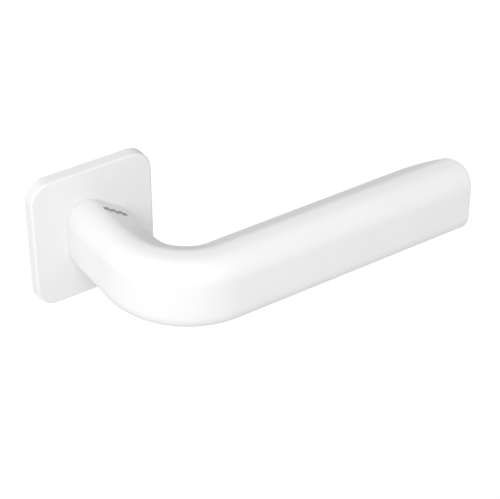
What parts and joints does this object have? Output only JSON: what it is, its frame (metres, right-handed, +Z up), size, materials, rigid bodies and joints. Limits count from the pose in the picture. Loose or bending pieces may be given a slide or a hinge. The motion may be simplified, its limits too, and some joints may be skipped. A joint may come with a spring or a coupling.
{
  "type": "tilt turn window handle",
  "caption": "White L-shaped tilt turn window handle: flat-faced lever on a thin rounded-square rosette with detents, square spindle and a concealed base plate.",
  "frame": {"origin": "on the spindle's axis, in the plane of the sash that the base plate's back face rests on", "axes": "+X along the grip in the level (turn) position, +Y along the spindle into the sash, +Z up"},
  "size_m": [0.1585, 0.1, 0.056],
  "materials": {
    "white_coat": "smooth white powder coat on cast aluminium",
    "zinc_casting": "as cast, lightly tumbled light alloy",
    "natural_nylon": "natural moulded nylon",
    "plated_steel": "bright zinc-plated steel",
    "spring_steel": "oiled spring steel",
    "black_steel": "blackened steel",
    "bright_steel": "ground hardened steel",
    "dark_ink": "pad-printed dark grey ink, for the small mark on the neck"
  },
  "bodies": {
    "rosette": {"base_plate": "zinc_casting", "rosette_cover": "white_coat", "neck_bush": "natural_nylon", "retainer_plate": "plated_steel", "retainer_screws": "plated_steel", "disc_spring": "spring_steel", "detent_spring_left": "spring_steel", "detent_spring_right": "spring_steel", "detent_plug_left": "plated_steel", "detent_plug_right": "plated_steel", "cover_clip_left_lower": "spring_steel", "cover_clip_left_upper": "spring_steel", "cover_clip_right_lower": "spring_steel", "cover_clip_right_upper": "spring_steel"},
    "lever": {"lever_handle": "white_coat", "grub_screw": "black_steel", "spindle": "plated_steel", "index_hub": "bright_steel", "retaining_ring": "black_steel"},
    "detent_ball_left": {"detent_ball_left": "bright_steel"},
    "detent_ball_right": {"detent_ball_right": "bright_steel"}
  },
  "joints": [
    {"name": "handle_turn", "type": "hinge", "parent": "rosette", "child": "lever", "pos_m": [0, 0, 0], "axis": [0, -1, 0], "range_deg": [-90, 90]},
    {"name": "detent_left_slide", "type": "slide", "parent": "rosette", "child": "detent_ball_left", "axis": [1, 0, 0], "range_m": [0, 0.00055], "stiffness_N_per_m": 1000, "springref_m": 0.002, "deforming": ["detent_spring_left"]},
    {"name": "detent_right_slide", "type": "slide", "parent": "rosette", "child": "detent_ball_right", "axis": [-1, 0, 0], "range_m": [0, 0.00055], "stiffness_N_per_m": 1000, "springref_m": 0.002, "deforming": ["detent_spring_right"]}
  ]
}
